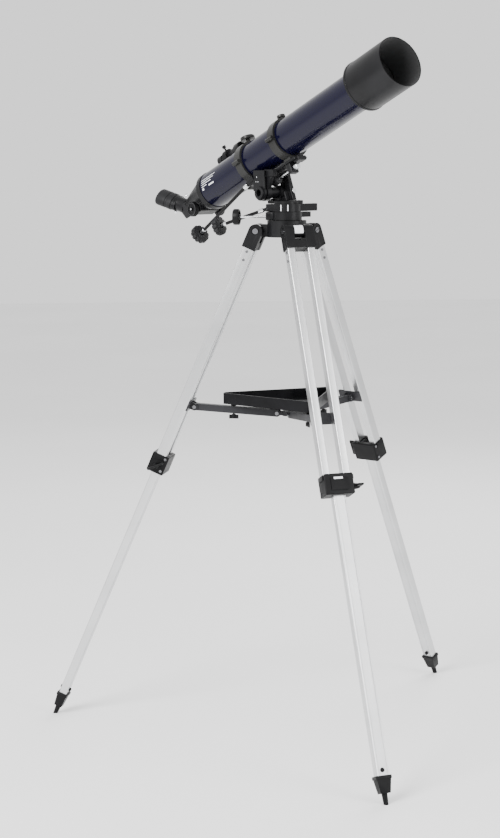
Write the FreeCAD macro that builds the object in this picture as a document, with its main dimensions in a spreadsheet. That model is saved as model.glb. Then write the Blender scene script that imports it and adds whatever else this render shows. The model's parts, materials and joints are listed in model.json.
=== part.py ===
import FreeCAD, Part
import os
import re

# A refracting telescope on an alt-azimuth head and a folding tripod, in millimetres, +Z up.
# The origin is on the floor under the middle of the whole object; the tripod's own axis stands
# at (axis_x, axis_y).  Three frames are used besides that one:
#   leg frame   origin at the leg's hinge, z up along the leg, x outwards, y round the tripod
#   head frame  origin on the tripod's axis at the floor, x the way the telescope points, y left of it
#   tube frame  origin where the optical axis passes over the tripod, x along the optical axis, z up

SIZES = {
    # place and pose
    "axis_x": 103.55, "axis_y": 54.83, "heading": -50.41, "altitude": 22.77, "tube_height": 1465.8,
    "front_turn": -70.28, "left_turn": 169.72, "right_turn": 49.72,
    # tripod legs
    "hinge_radius": 71.8, "leg_tilt": 23.8, "leg_length": 1363, "leg_wall": 1.6,
    "upper_width": 18, "upper_depth": 26, "upper_gap": 32.8, "upper_top": 24, "upper_end": 624,
    "lower_width": 30.8, "lower_depth": 20, "lower_top": 610, "lower_end": 1308,
    "groove_width": 3, "groove_depth": 0.7, "groove_place": 10,
    "fitting_width": 73, "fitting_depth": 34, "fitting_end": 46, "lug_width": 27.4, "cheek_gap": 28,
    "hinge_bolt_radius": 4, "bolt_head_radius": 7, "bolt_head_height": 5,
    "block_width": 72, "block_depth": 44, "block_top": 607, "block_end": 657, "block_round": 3,
    "slide_gap": 0.4, "panel_width": 42, "panel_height": 30, "panel_proud": 2,
    "lock_place": 636, "lock_shank_radius": 4, "wing_span": 42, "wing_thick": 5, "wing_height": 15,
    "boot_top": 1301, "boot_end": 1339, "boot_width": 36, "boot_depth": 26, "peg_radius": 7,
    "foot_screw_place": 1288, "screw_radius": 2.5,
    "rivet_radius": 2, "rivet_head_radius": 3.5, "rivet_head": 1.4,
    # spreader and tray
    "bracket_place": 466, "bracket_reach": 26, "bracket_thick": 3, "bracket_height": 28,
    "arm_width": 18, "arm_height": 17, "arm_wall": 1.6,
    "pivot_radius": 2.5, "centre_height": 797, "centre_reach": 27, "centre_size": 21,
    "tray_floor": 819, "tray_height": 27, "tray_wall": 2.5, "tray_corner": 178, "tray_cut": 162,
    "tray_screw_reach": 138,
    # azimuth bearing
    "hub_base": 1232, "hub_top": 1272, "hub_radius": 48, "post_radius": 18, "post_top": 1311,
    "clamp_base": 1273, "clamp_top": 1293, "clamp_radius": 37, "running": 0.05,
    "turntable_base": 1293.5, "turntable_top": 1312, "turntable_radius": 34,
    "bar_reach": 91, "clamp_bar_reach": 70, "bar_depth": 18,
    "handle_height": 1281, "handle_turn": 222, "handle_start": 38, "handle_length": 78, "handle_radius": 2.7,
    "grip_radius": 19.5, "grip_length": 17,
    # altitude bearing
    "pivot_back": 48.5, "pivot_height": 1339, "barrel_radius": 13.5, "barrel_bore": 8.5,
    "cradle_near": 44, "web_end": 20, "cradle_thick": 6, "cradle_width": 42, "cradle_top": 1394,
    "yoke_near": 9, "yoke_far": 27, "lean": 21, "lean_near": 21.5, "lean_far": 33, "lean_height": 72,
    "plate_top": 56, "plate_thick": 6, "plate_width": 40, "plate_back": 164, "plate_front": 34,
    "lean_back": 15, "lean_half": 17,
    "yoke_bolt_radius": 3, "bolt_start": -8, "bolt_side": 27, "bolt_height": 25,
    "drag_drop": 76, "drag_side": 5, "drag_knob_radius": 12.5, "drag_rod_radius": 4.5,
    # slow-motion controls
    "control_radius": 24, "control_thick": 16, "control_rod_radius": 4.2, "ferrule_radius": 5.6,
    "lobe_radius": 4.2, "lobe_count": 12,
    # optical tube
    "tube_radius": 47, "tube_wall": 1.5, "tube_back": 320, "tube_front": 330,
    "shield_radius": 61, "shield_wall": 1.4, "band_bore": 59, "band_front": 348,
    "shield_back": 307, "shield_front": 438.5,
    "flange_radius": 62, "flange_length": 6, "cell_back": 309.5, "cell_front": 347,
    "lens_radius": 45.6, "lens_back": 334, "lens_front": 343, "lens_curve": 420, "aperture": 43,
    "ring_radius": 53, "ring_liner": 0.3, "ring_width": 24, "front_ring": 5, "back_ring": 136,
    "ring_hinge": 57, "ring_hinge_radius": 5, "ring_clamp": 64, "ring_lug": 9,
    # focuser and eyepiece
    "cap_radius": 48.5, "cap_back": 326, "cap_front": 311, "cone_back": 412, "cone_radius": 22.5,
    "draw_radius": 18.5, "draw_bore": 15.9, "draw_back": 418, "draw_front": 332,
    "pinion_back": 366, "pinion_drop": 31, "pinion_radius": 6, "shaft_radius": 3,
    "focus_radius": 19, "focus_inner": 35.5, "focus_outer": 50,
    "prism_back": 434, "prism_turn": 27.6, "nose_radius": 15.85,
    "barlow_radius": 17, "barlow_start": 19, "barlow_end": 45, "eyepiece_radius": 18, "eyepiece_end": 94,
    # finder
    "finder_turn": -26, "finder_height": 79, "finder_radius": 13, "finder_back": 300, "finder_front": 205,
}

doc = FreeCAD.newDocument("telescope")
sheet = doc.addObject("Spreadsheet::Sheet", "sizes")
for row, (alias, value) in enumerate(SIZES.items(), start=1):
    sheet.set(f"A{row}", alias)
    sheet.set(f"B{row}", str(value))
    sheet.setAlias(f"B{row}", alias)
doc.recompute()

NODES = []


def bound(text):
    """An expression in which every name of the sheet is looked up in the sheet."""
    def look_up(found):
        return f"sizes.{found[0]}" if found[0] in SIZES else found[0]
    return re.sub(r"[a-z][a-z_]*", look_up, str(text))


def place(x=0, y=0, z=0, *turns):
    """A placement expression: a point, then turns such as ("y", 90), the first one outermost."""
    axes = {"x": "vector(1; 0; 0)", "y": "vector(0; 1; 0)", "z": "vector(0; 0; 1)"}
    spin = " * ".join(f"rotation({axes[axis]}; {angle})" for axis, angle in turns or [("z", 0)])
    return f"placement(vector({x}; {y}; {z}); {spin})"


def solid(kind, at, **props):
    """A Part primitive with every size and its place bound to the sheet."""
    made = doc.addObject(f"Part::{kind}", kind)
    for name, value in props.items():
        made.setExpression(name, bound(value))
    made.setExpression("Placement", bound(at))
    return made


def box(x0, x1, y0, y1, z0, z1, at=None):
    """A box between two corners, or at a placement, in the frame of its node."""
    corner = place(x0, y0, z0) if at is None else f"{at} * {place(x0, y0, z0)}"
    return solid("Box", corner, Length=f"({x1}) - ({x0})", Width=f"({y1}) - ({y0})",
                 Height=f"({z1}) - ({z0})")


AIM = {"x": [("y", 90)], "y": [("x", -90)], "z": []}


def rod(axis, start, end, radius, x=0, y=0, z=0, at=None):
    """A round bar along one axis, from start to end on it, through the point given by the other two."""
    point = {"x": (start, y, z), "y": (x, start, z), "z": (x, y, start)}[axis]
    local = place(*point, *AIM[axis])
    height = f"({end}) - ({start})"
    return solid("Cylinder", local if at is None else f"{at} * {local}", Radius=radius, Height=height)


def taper(axis, start, end, radius, end_radius, x=0, y=0, z=0, at=None):
    """A round taper along one axis."""
    point = {"x": (start, y, z), "y": (x, start, z), "z": (x, y, start)}[axis]
    local = place(*point, *AIM[axis])
    return solid("Cone", local if at is None else f"{at} * {local}", Radius1=radius, Radius2=end_radius,
                 Height=f"({end}) - ({start})")


def fuse(*shapes):
    made = doc.addObject("Part::MultiFuse", "Fuse")
    made.Shapes = list(shapes)
    made.Refine = True
    return made


def cut(base, *tools):
    made = doc.addObject("Part::Cut", "Cut")
    made.Base = base
    made.Tool = tools[0] if len(tools) == 1 else fuse(*tools)
    made.Refine = True
    return made


def common(*shapes):
    made = doc.addObject("Part::MultiCommon", "Common")
    made.Shapes = list(shapes)
    made.Refine = True
    return made


def rounded(base, radius, along=None):
    """Rounds the edges of a shape: all of them, or those that run along one direction."""
    doc.recompute()
    made = doc.addObject("Part::Fillet", "Fillet")
    made.Base = base
    size = SIZES.get(radius, radius)
    picked = []
    for number, edge in enumerate(base.Shape.Edges, start=1):
        run = edge.tangentAt(edge.FirstParameter)
        run = base.Placement.Rotation.inverted().multVec(run)
        if along is None or abs(getattr(run, along)) > 0.99:
            picked.append((number, size, size))
    made.Edges = picked
    return made


def node(label, frame, *shapes):
    """A sub-part: one shape, or a group of separate solids, set in its frame."""
    made = shapes[0]
    if len(shapes) > 1:
        made = doc.addObject("Part::Compound", "Group")
        made.Links = list(shapes)
    made.Label = label
    made.setExpression("Placement", bound(frame))
    NODES.append(made)
    return made


WORLD = place("axis_x", "axis_y", 0)
HEAD = place("axis_x", "axis_y", 0, ("z", "heading"))
TUBE = place("axis_x", "axis_y", "tube_height", ("z", "heading"), ("y", "-altitude"))


def leg_frame(turn):
    return place(f"axis_x + hinge_radius * cos({turn} * 1deg)", f"axis_y + hinge_radius * sin({turn} * 1deg)",
                 "leg_length * cos(leg_tilt * 1deg)", ("z", turn), ("y", "-leg_tilt"))


# ---------------------------------------------------------------- tripod legs
LEGS = {"front": ("front_turn", 0), "left": ("left_turn", 45), "right": ("right_turn", 90)}
INNER = "upper_gap / 2"
OUTER = "upper_gap / 2 + upper_width"
SIDES = (-1, 1)
RIVET_PLACES = (54, 76, 615, 647)


def side_box(side, x0, x1, y0, y1, z0, z1):
    """A box given for the +y side, or its mirror image on the -y side."""
    if side > 0:
        return box(x0, x1, y0, y1, z0, z1)
    return box(x0, x1, f"-({y1})", f"-({y0})", z0, z1)


def side_rod(side, y0, y1, radius, x, z):
    """A round bar across the leg, given for the +y side, or its mirror image."""
    if side > 0:
        return rod("y", y0, y1, radius, x=x, z=z)
    return rod("y", f"-({y1})", f"-({y0})", radius, x=x, z=z)


def top_fitting(name, turn):
    """The clevis at the head of a leg: two cheeks, a bridge and the sockets of the two tubes."""
    half = "fitting_depth / 2"
    parts = []
    for side in SIDES:
        parts.append(side_box(side, f"-{half}", half, "cheek_gap / 2",
                              "fitting_width / 2", "-fitting_end", 0))
        parts.append(side_rod(side, "cheek_gap / 2", "fitting_width / 2", half, 0, 0))
    parts.append(box(f"-{half} + 1", f"{half} - 1", "-fitting_width / 2", "fitting_width / 2",
                     "-fitting_end", -27))
    holes = [rod("y", -40, 40, "hinge_bolt_radius")]
    for side in SIDES:
        holes.append(side_box(side, "-upper_depth / 2", "upper_depth / 2", INNER, OUTER, -50, "-upper_top"))
        holes.append(side_rod(side, "fitting_width / 2 - 4", 40, "bolt_head_radius + 1.5", 0, 0))
        holes.append(side_rod(side, "fitting_width / 2 - 1.2", 40, 9, 0, "-fitting_end"))
    node(f"{name}_leg_fitting", leg_frame(turn), cut(fuse(*parts), *holes))


def upper_leg(name, turn):
    """The two parallel tubes of the upper section, with the rivet holes in their outer walls."""
    tubes = []
    for side in SIDES:
        skin = rounded(side_box(side, "-upper_depth / 2", "upper_depth / 2", INNER, OUTER,
                                "-upper_end", "-upper_top"), 2, "z")
        bore = side_box(side, "-upper_depth / 2 + leg_wall", "upper_depth / 2 - leg_wall",
                        f"{INNER} + leg_wall", f"{OUTER} - leg_wall", "-upper_end - 1", "-upper_top + 1")
        holes = [side_rod(side, f"{OUTER} - 3", f"{OUTER} + 1", "rivet_radius", 0, -drop)
                 for drop in RIVET_PLACES[:2]]
        tubes.append(cut(skin, bore, *holes))
    node(f"{name}_upper_leg", leg_frame(turn), *tubes)


def lock_block(name, turn):
    """The moulded block that joins the sections: two pockets, a passage for the lower tube, a screw bore."""
    half_x = "block_depth / 2"
    half_y = "block_width / 2"
    body = rounded(box(f"-{half_x}", half_x, f"-{half_y}", half_y, "-block_end", "-block_top"), "block_round")
    panel = box(half_x, f"{half_x} + panel_proud", "-panel_width / 2", "panel_width / 2",
                "-(block_top + block_end) / 2 - panel_height / 2",
                "-(block_top + block_end) / 2 + panel_height / 2")
    ears = [side_box(side, f"-{half_x} + 12", f"{half_x} - 6", f"{half_y} - 1", f"{half_y} + 3",
                     "-block_top - 14", "-block_top - 3") for side in SIDES]
    boss = rod("y", f"{half_y} - 1", f"{half_y} + 3", 9, z="-lock_place")
    holes = [box("-lower_depth / 2 - slide_gap",
                 "lower_depth / 2 + slide_gap", "-lower_width / 2 - slide_gap",
                 "lower_width / 2 + slide_gap", "-block_end - 1", "-block_top + 1"),
             rod("y", 10, 45, "lock_shank_radius + running", z="-lock_place")]
    for side in SIDES:
        holes.append(side_box(side, "-upper_depth / 2", "upper_depth / 2", INNER, OUTER,
                              "-upper_end", "-block_top + 1"))
        for drop in RIVET_PLACES[2:]:
            holes.append(side_rod(side, f"{half_y} - 1.5", f"{half_y} + 4", "rivet_radius", -14, -drop))
    node(f"{name}_leg_lock", leg_frame(turn), cut(fuse(body, panel, boss, *ears), *holes))


def lower_leg(name, turn):
    """The single inner tube, grooved along its outer and inner faces."""
    half_x = "lower_depth / 2"
    half_y = "lower_width / 2"
    skin = rounded(box(f"-{half_x}", half_x, f"-{half_y}", half_y, "-lower_end", "-lower_top"), 2, "z")
    tools = [box(f"-{half_x} + leg_wall",
                 f"{half_x} - leg_wall", f"-{half_y} + leg_wall", f"{half_y} - leg_wall",
                 "-lower_end - 1", "-lower_top + 1"),
             rod("x", -15, 15, "screw_radius", z="-foot_screw_place")]
    for face in SIDES:
        for side in SIDES:
            middle = f"{side} * groove_place"
            edge = f"{face} * (lower_depth / 2)"
            tools.append(box(f"{edge} - groove_depth",
                             f"{edge} + groove_depth", f"{middle} - groove_width / 2",
                             f"{middle} + groove_width / 2", "-lower_end - 1", "-lower_top + 1"))
    node(f"{name}_lower_leg", leg_frame(turn), cut(skin, *tools))


def foot(name, turn):
    """The boot and its peg, cut off level with the floor, and the screw through the tube above it."""
    boot = solid("Wedge", place(0, 0, "-boot_top", ("x", -90)),
                 Xmin="-boot_depth / 2", Xmax="boot_depth / 2", Zmin="-boot_width / 2", Zmax="boot_width / 2",
                 Ymin=0, Ymax="boot_end - boot_top", X2min="-boot_depth / 2 + 3", X2max="boot_depth / 2 - 3",
                 Z2min="-boot_width / 2 + 6", Z2max="boot_width / 2 - 6")
    collar = rounded(box("-boot_depth / 2 - 1", "boot_depth / 2 + 1",
                         "-boot_width / 2 - 1", "boot_width / 2 + 1",
                         "-boot_top - 7", "-boot_top + 1"), 1.5)
    peg = taper("z", "-leg_length - 6", "-boot_end + 2", "peg_radius - 1.6", "peg_radius")
    socket = box("-lower_depth / 2", "lower_depth / 2", "-lower_width / 2", "lower_width / 2",
                 "-lower_end", "-boot_top + 2")
    floor = solid("Box", f"{place(0, 0, '-leg_length', ('y', 'leg_tilt'))} * {place(-40, -40, -20)}",
                  Length=80, Width=80, Height=20)
    shank = rod("x", "-lower_depth / 2 - 5", "lower_depth / 2 + 1", "screw_radius", z="-foot_screw_place")
    head = taper("x", "lower_depth / 2", "lower_depth / 2 + 4", 5.5, 3.5, z="-foot_screw_place")
    nut = solid("Prism", f"{place('-lower_depth / 2 - 4', 0, '-foot_screw_place', ('y', 90))}",
                Circumradius=5, Height=4)
    node(f"{name}_foot", leg_frame(turn), cut(fuse(boot, collar, peg), socket, floor), fuse(shank, head, nut))


def lock_screw(name, turn, wings):
    """The clamp screw of a leg: shank, hub and two wings."""
    start = "block_width / 2 + 6"
    shank = rod("y", "lower_width / 2 + 1.2", f"{start} + 2", "lock_shank_radius", z="-lock_place")
    hub = taper("y", start, f"{start} + 14", 8, 6, z="-lock_place")
    tilt = place(0, 0, "-lock_place", ("y", wings))
    blade = rounded(box("-wing_span / 2", "wing_span / 2", f"{start} + 4", f"{start} + 4 + wing_height",
                        "-wing_thick / 2", "wing_thick / 2", at=tilt), 2)
    node(f"{name}_lock_screw", leg_frame(turn), fuse(shank, hub, blade))


for leg, (turn, wings) in LEGS.items():
    top_fitting(leg, turn)
    upper_leg(leg, turn)
    lock_block(leg, turn)
    lower_leg(leg, turn)
    foot(leg, turn)
    lock_screw(leg, turn, wings)


def on_each_leg(build):
    """The same loose piece on all three legs, as one group in the world frame."""
    group = []
    for turn, _ in LEGS.values():
        for shape in build():
            holder = doc.addObject("Part::Compound", "Group")
            holder.Links = [shape]
            holder.setExpression("Placement", bound(leg_frame(turn)))
            group.append(holder)
    made = doc.addObject("Part::Compound", "Group")
    made.Links = group
    return made


def group_node(label, made):
    made.Label = label
    NODES.append(made)


def hinge_bolt():
    """A bolt through a leg's hinge with a round head each side, one of them slotted."""
    face = "fitting_width / 2 - 4"
    shank = rod("y", f"-({face})", face, "hinge_bolt_radius")
    heads = [side_rod(side, face, f"{face} + bolt_head_height", "bolt_head_radius", 0, 0) for side in SIDES]
    slot = box(-8, 8, f"-({face}) - bolt_head_height - 1", f"-({face}) - bolt_head_height + 1.6", -1, 1)
    return [cut(fuse(shank, *heads), slot)]


def rivets():
    """Blind rivets: four that hold the tubes in the fitting, four on the lock block."""
    made = []
    for side in SIDES:
        for drop in RIVET_PLACES[:2]:
            made.append(fuse(side_rod(side, f"{OUTER} - leg_wall", OUTER, "rivet_radius", 0, -drop),
                             side_rod(side, OUTER, f"{OUTER} + rivet_head", "rivet_head_radius", 0, -drop)))
        for drop in RIVET_PLACES[2:]:
            face = "block_width / 2"
            made.append(fuse(side_rod(side, f"{face} - 1.5", face, "rivet_radius", -14, -drop),
                             side_rod(side, face, f"{face} + rivet_head", "rivet_head_radius", -14, -drop)))
    return made


group_node("leg_hinge_bolts", on_each_leg(hinge_bolt))
group_node("leg_rivets", on_each_leg(rivets))

# ---------------------------------------------------------------- spreader and tray
ARM_INSIDE = "arm_width / 2 - arm_wall"
LUG_INSIDE = "arm_width / 2 + 0.4"
PIN_REACH = "(hinge_radius - bracket_reach * cos(leg_tilt * 1deg) + bracket_place * sin(leg_tilt * 1deg))"
PIN_HEIGHT = "((leg_length - bracket_place) * cos(leg_tilt * 1deg) - bracket_reach * sin(leg_tilt * 1deg))"
ARM_RUN = f"({PIN_REACH} - centre_reach)"
ARM_DROP = f"({PIN_HEIGHT} - centre_height)"
ARM_LENGTH = f"sqrt({ARM_RUN} * {ARM_RUN} + {ARM_DROP} * {ARM_DROP})"


def leg_bracket():
    """The bracket across the backs of the two tubes, with the two lugs that carry a spreader arm."""
    back = "-upper_depth / 2"
    z0, z1 = "-bracket_place - bracket_height / 2", "-bracket_place + bracket_height / 2"
    plate = box(f"{back} - bracket_thick", back, f"-({OUTER})", OUTER, z0, z1)
    lugs = []
    for side in SIDES:
        lugs.append(side_box(side, "-bracket_reach", f"{back} - bracket_thick + 1", LUG_INSIDE,
                             f"{LUG_INSIDE} + bracket_thick", "-bracket_place - 9", "-bracket_place + 9"))
        lugs.append(side_rod(side, LUG_INSIDE, f"{LUG_INSIDE} + bracket_thick", 9,
                             "-bracket_reach", "-bracket_place"))
    bore = rod("y", -20, 20, "pivot_radius", x="-bracket_reach", z="-bracket_place")
    return [cut(fuse(plate, *lugs), bore)]


def pivot_pin(x, z, reach):
    """A headed pin across an arm."""
    shank = rod("y", f"-({reach})", reach, "pivot_radius", x=x, z=z)
    heads = [side_rod(side, reach, f"{reach} + 3", "pivot_radius + 2.2", x, z) for side in SIDES]
    return fuse(shank, *heads)


def arm_frame(turn):
    """Origin at the arm's pivot on the leg, x towards the middle of the tripod."""
    return place(f"axis_x + {PIN_REACH} * cos({turn} * 1deg)", f"axis_y + {PIN_REACH} * sin({turn} * 1deg)",
                 PIN_HEIGHT, ("z", f"{turn} + 180"), ("y", f"atan({ARM_DROP} / {ARM_RUN})"))


def spreader_arm(name, turn):
    """A folded steel channel, open underneath, round at both ends."""
    outer = fuse(box(0, ARM_LENGTH, "-arm_width / 2", "arm_width / 2", "-arm_height / 2", "arm_height / 2"),
                 rod("y", "-arm_width / 2", "arm_width / 2", "arm_height / 2"),
                 rod("y", "-arm_width / 2", "arm_width / 2", "arm_height / 2", x=ARM_LENGTH))
    hollow = box(-12, f"{ARM_LENGTH} + 12", f"-({ARM_INSIDE})", ARM_INSIDE, -12, "arm_height / 2 - arm_wall")
    clear = box(f"{ARM_LENGTH} - 20", f"{ARM_LENGTH} + 12", f"-({ARM_INSIDE})", ARM_INSIDE, -12, 12)
    screw_at = f"{ARM_LENGTH} + centre_reach - tray_screw_reach"
    holes = [rod("y", -12, 12, "pivot_radius"), rod("y", -12, 12, "pivot_radius", x=ARM_LENGTH),
             rod("z", 0, 12, "screw_radius + 0.8", x=screw_at)]
    node(f"{name}_spreader_arm", arm_frame(turn), cut(outer, hollow, clear, *holes))


def spreader_pins():
    pins = []
    for turn, _ in LEGS.values():
        for holder_frame, shape in ((leg_frame(turn), pivot_pin("-bracket_reach", "-bracket_place",
                                                                f"{LUG_INSIDE} + bracket_thick")),
                                    (arm_frame(turn), pivot_pin(ARM_LENGTH, 0, "arm_width / 2"))):
            holder = doc.addObject("Part::Compound", "Group")
            holder.Links = [shape]
            holder.setExpression("Placement", bound(holder_frame))
            pins.append(holder)
    made = doc.addObject("Part::Compound", "Group")
    made.Links = pins
    return made


def spreader_hub():
    """The middle piece: a flat disc with three tongues that sit inside the arms' ends."""
    parts = [rod("z", -6, 6, "centre_size - 6", at=place(0, 0, "centre_height"))]
    holes = []
    for turn, _ in LEGS.values():
        at = place(0, 0, "centre_height", ("z", turn))
        parts.append(box(0, "centre_reach", f"-({ARM_INSIDE}) + 0.4", f"{ARM_INSIDE} - 0.4", -5, 5, at=at))
        parts.append(rod("y", f"-({ARM_INSIDE}) + 0.4", f"{ARM_INSIDE} - 0.4", 5, x="centre_reach", at=at))
        holes.append(rod("y", -12, 12, "pivot_radius", x="centre_reach", at=at))
    node("spreader_hub", WORLD, cut(fuse(*parts), *holes))


def triangle(reach, turn, z, height):
    """A three-sided prism whose corners lie at the given reach."""
    return solid("Prism", place(0, 0, z, ("z", turn)), Polygon=3, Circumradius=reach, Height=height)


def tray():
    """A three-cornered tray with raised walls, cut-off corners and a boss for each screw."""
    def slab(inset, z, height):
        return common(triangle(f"tray_corner - 2 * ({inset})", "front_turn", z, height),
                      triangle(f"2 * (tray_cut - ({inset}))", "front_turn + 180", z, height))
    shell = cut(slab(0, "tray_floor", "tray_height"),
                slab("tray_wall", "tray_floor + tray_wall", "tray_height"))
    bosses = []
    holes = []
    for turn, _ in LEGS.values():
        x, y = f"tray_screw_reach * cos({turn} * 1deg)", f"tray_screw_reach * sin({turn} * 1deg)"
        bosses.append(rod("z", "tray_floor - 5", "tray_floor + 4", 7, x=x, y=y))
        holes.append(rod("z", "tray_floor - 6", "tray_floor + 3", "screw_radius", x=x, y=y))
    node("accessory_tray", WORLD, cut(fuse(shell, *bosses), *holes))


def tray_screws():
    """Wing screws that hold the tray down on the arms from below."""
    made = []
    for turn, _ in LEGS.values():
        at = place(f"tray_screw_reach * cos({turn} * 1deg)", f"tray_screw_reach * sin({turn} * 1deg)", 0,
                   ("z", turn))
        shank = rod("z", "tray_floor - 34", "tray_floor + 2", "screw_radius", at=at)
        hub = rod("z", "tray_floor - 34", "tray_floor - 26.5", 5, at=at)
        wing = rounded(box(-12, 12, -1.5, 1.5, "tray_floor - 38", "tray_floor - 28", at=at), 1.2)
        made.append(fuse(shank, hub, wing))
    node("tray_wing_screws", WORLD, *made)


group_node("spreader_brackets", on_each_leg(leg_bracket))
for leg, (turn, _) in LEGS.items():
    spreader_arm(leg, turn)
group_node("spreader_pins", spreader_pins())
spreader_hub()
tray()
tray_screws()

# ---------------------------------------------------------------- tripod hub and azimuth bearing
HINGE_HEIGHT = "leg_length * cos(leg_tilt * 1deg)"


def tripod_hub():
    """The hub casting with three lugs, and the post that the head turns on."""
    parts = [rod("z", "hub_base", "hub_top", "hub_radius"),
             rod("z", "hub_top - 1", "post_top", "post_radius")]
    holes = []
    for turn, _ in LEGS.values():
        at = place(0, 0, 0, ("z", turn))
        parts.append(box(0, "hinge_radius", "-lug_width / 2", "lug_width / 2", f"{HINGE_HEIGHT} - 15",
                         f"{HINGE_HEIGHT} + 16", at=at))
        parts.append(rod("y", "-lug_width / 2", "lug_width / 2", 16, x="hinge_radius", z=HINGE_HEIGHT, at=at))
        holes.append(rod("y", -20, 20, "hinge_bolt_radius", x="hinge_radius", z=HINGE_HEIGHT, at=at))
    holes.append(rod("z", "hub_base - 1", "hub_base + 26", "post_radius + 10"))
    node("tripod_hub", WORLD, cut(fuse(*parts), *holes))


def azimuth_clamp():
    """The lower ring of the azimuth bearing, with its handle boss and tangent bar."""
    z0, z1 = "clamp_base", "clamp_top"
    ring = rod("z", z0, z1, "clamp_radius")
    boss = rounded(box(0, 50, -18, 18, z0, z1, at=place(0, 0, 0, ("z", "handle_turn"))), 3)
    bar = rounded(box("-bar_depth / 2", "bar_depth / 2", 0, "clamp_bar_reach", f"{z0} + 6", f"{z1} - 1"), 1.5)
    bore = rod("z", f"{z0} - 1", f"{z1} + 1", "post_radius + running")
    aim = place(0, 0, "handle_height", ("z", "handle_turn"))
    screw = rod("x", "post_radius", 80, "handle_radius + running", at=aim)
    node("azimuth_clamp", HEAD, cut(fuse(ring, boss, bar), bore, screw))


def azimuth_handle():
    """The rod that locks the azimuth clamp, and its smooth round grip."""
    aim = place(0, 0, "handle_height", ("z", "handle_turn"))
    end = "handle_start + handle_length"
    shank = rod("x", "post_radius + 1", f"{end} + 10", "handle_radius", at=aim)
    grip = rod("x", end, f"{end} + grip_length", "grip_radius", at=aim)
    hollow = rod("x", f"{end} - 1", f"{end} + 4", "grip_radius - 4", at=aim)
    collar = rod("x", f"{end}", f"{end} + 6", "handle_radius + 4", at=aim)
    grip = fuse(cut(rounded(grip, 3), hollow), collar)
    bore = rod("x", f"{end} - 1", f"{end} + 10", "handle_radius", at=aim)
    node("azimuth_lock_handle", HEAD, shank, cut(grip, bore))


CONTROLS = {
    # start point in the frame, turn about z, fall below level, rod length
    "azimuth": (HEAD, place(-30, -27, 1303, ("z", 198.8), ("y", 16.9)), 150),
    "altitude": (TUBE, place(-118, -38, -55.2, ("z", 180), ("y", 9.7)), 248),
}


def control(name):
    """A slow-motion control: rod with a bright ferrule at each end, and a scalloped knob."""
    frame, at, length = CONTROLS[name]
    rod_shape = fuse(rod("x", 0, length, "control_rod_radius", at=at),
                     rod("x", 20, 34, "ferrule_radius", at=at),
                     rod("x", f"{length} - 16", f"{length} + 2", "ferrule_radius", at=at))
    start, end = f"{length}", f"{length} + control_thick"
    disc = rounded(rod("x", start, end, "control_radius", at=at), 2)
    scallops = [rod("x", f"{start} - 1", f"{end} + 1", "lobe_radius", at=f"{at} * "
                + place(0, f"(control_radius + 1.6) * cos({step} * 360deg / lobe_count)",
                        f"(control_radius + 1.6) * sin({step} * 360deg / lobe_count)"))
                for step in range(SIZES["lobe_count"])]
    bore = rod("x", f"{start} - 1", f"{length} + 2", "ferrule_radius", at=at)
    node(f"{name}_control", frame, rod_shape, cut(disc, bore, *scallops))


def turntable():
    """The upper ring of the azimuth bearing, with its long bar and the slow-motion housing."""
    z0, z1 = "turntable_base", "turntable_top"
    ring = rod("z", z0, z1, "turntable_radius")
    bar = rounded(box("-bar_depth / 2", "bar_depth / 2", 0, "bar_reach", z0, z1), 1.5)
    housing = rounded(box(-40, -6, -34, -16, z0, z1), 2)
    bore = rod("z", f"{z0} - 1", f"{z1} + 1", "post_radius + running")
    _, at, _ = CONTROLS["azimuth"]
    screw = rod("x", 0, 60, "control_rod_radius + running", at=at)
    node("azimuth_turntable", HEAD, cut(fuse(ring, bar, housing), bore, screw))


tripod_hub()
azimuth_clamp()
azimuth_handle()
turntable()
control("azimuth")

# ---------------------------------------------------------------- altitude bearing
LEAN = place("-lean_back", 0, "turntable_top + 1", ("y", "-lean"))


def yoke():
    """The casting on the turntable: the boss of the altitude axle, its column and a tall leaning plate."""
    base = rod("z", "turntable_top", "turntable_top + 7", 30)
    column = rod("z", "turntable_top", "pivot_height", 15, x="-pivot_back", y=7)
    boss = rod("y", "yoke_near", "yoke_far", 18, x="-pivot_back", z="pivot_height")
    plate = rounded(box("-lean_half", "lean_half", "lean_near", "lean_far", -8, "lean_height", at=LEAN), 2)
    rib = rounded(box("-lean_half", 6, "yoke_near", "lean_far - 1", 0, 30, at=LEAN), 2)
    foot_plate = rounded(box("-pivot_back - 15", 24, "-yoke_near", "lean_far", "turntable_top",
                             "turntable_top + 9"), 2)
    bore = rod("y", 0, 40, "barrel_radius + running", x="-pivot_back", z="pivot_height")
    swing = rod("y", -40, "yoke_near - 0.5", 21, x="-pivot_back", z="pivot_height")
    bolt = rod("x", "bolt_start", 40, "yoke_bolt_radius", y="bolt_side", z="bolt_height", at=LEAN)
    below = box(-80, 80, -60, 60, "hub_top", "turntable_top")
    recess = box(-12, 3, "yoke_near - 1", "yoke_near + 3", 9, 21, at=LEAN)
    body = fuse(base, column, boss, plate, rib, foot_plate)
    node("altitude_yoke", HEAD, cut(body, bore, swing, bolt, below, recess))


def yoke_bolt():
    """The bright bolt that closes the yoke on the barrel."""
    shank = rod("x", "bolt_start", "lean_half", "yoke_bolt_radius", y="bolt_side", z="bolt_height", at=LEAN)
    head = rod("x", "lean_half", "lean_half + 6", 6, y="bolt_side", z="bolt_height", at=LEAN)
    node("yoke_bolt", HEAD, fuse(shank, head))


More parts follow.
